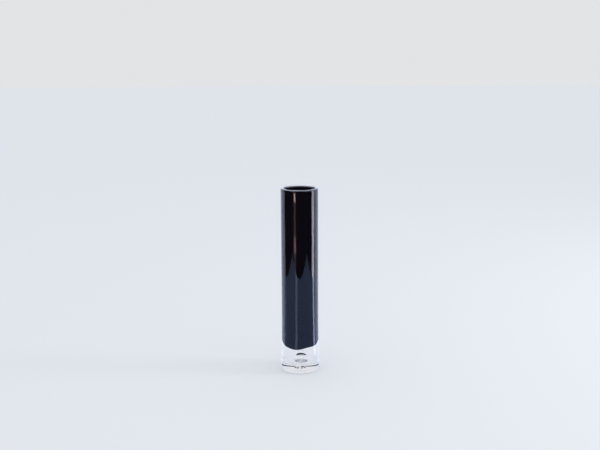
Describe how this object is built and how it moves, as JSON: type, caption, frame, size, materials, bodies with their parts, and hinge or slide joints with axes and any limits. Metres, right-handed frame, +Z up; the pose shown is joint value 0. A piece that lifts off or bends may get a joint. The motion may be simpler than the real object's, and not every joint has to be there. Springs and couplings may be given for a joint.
{
  "type": "cased glass vase",
  "caption": "Tall straight hand blown vase with a dark colour lining, clear glass over it and a heavy clear foot that traps an air bubble.",
  "frame": {"origin": "centre of the resting face, on the surface that the vase stands on", "axes": "+Z up along the vase's axis, towards the mouth; +Y away from the front view and +X to its right"},
  "size_m": [0.0414, 0.0414, 0.2],
  "materials": {
    "dark_colour_glass": "opaque blue black glass, fire polished",
    "clear_glass": "clear, fire polished, with a polished underside"
  },
  "bodies": {
    "root": {"colour_underlay": "dark_colour_glass", "first_clear_gather": "clear_glass", "outer_clear_gather": "clear_glass"}
  },
  "joints": []
}
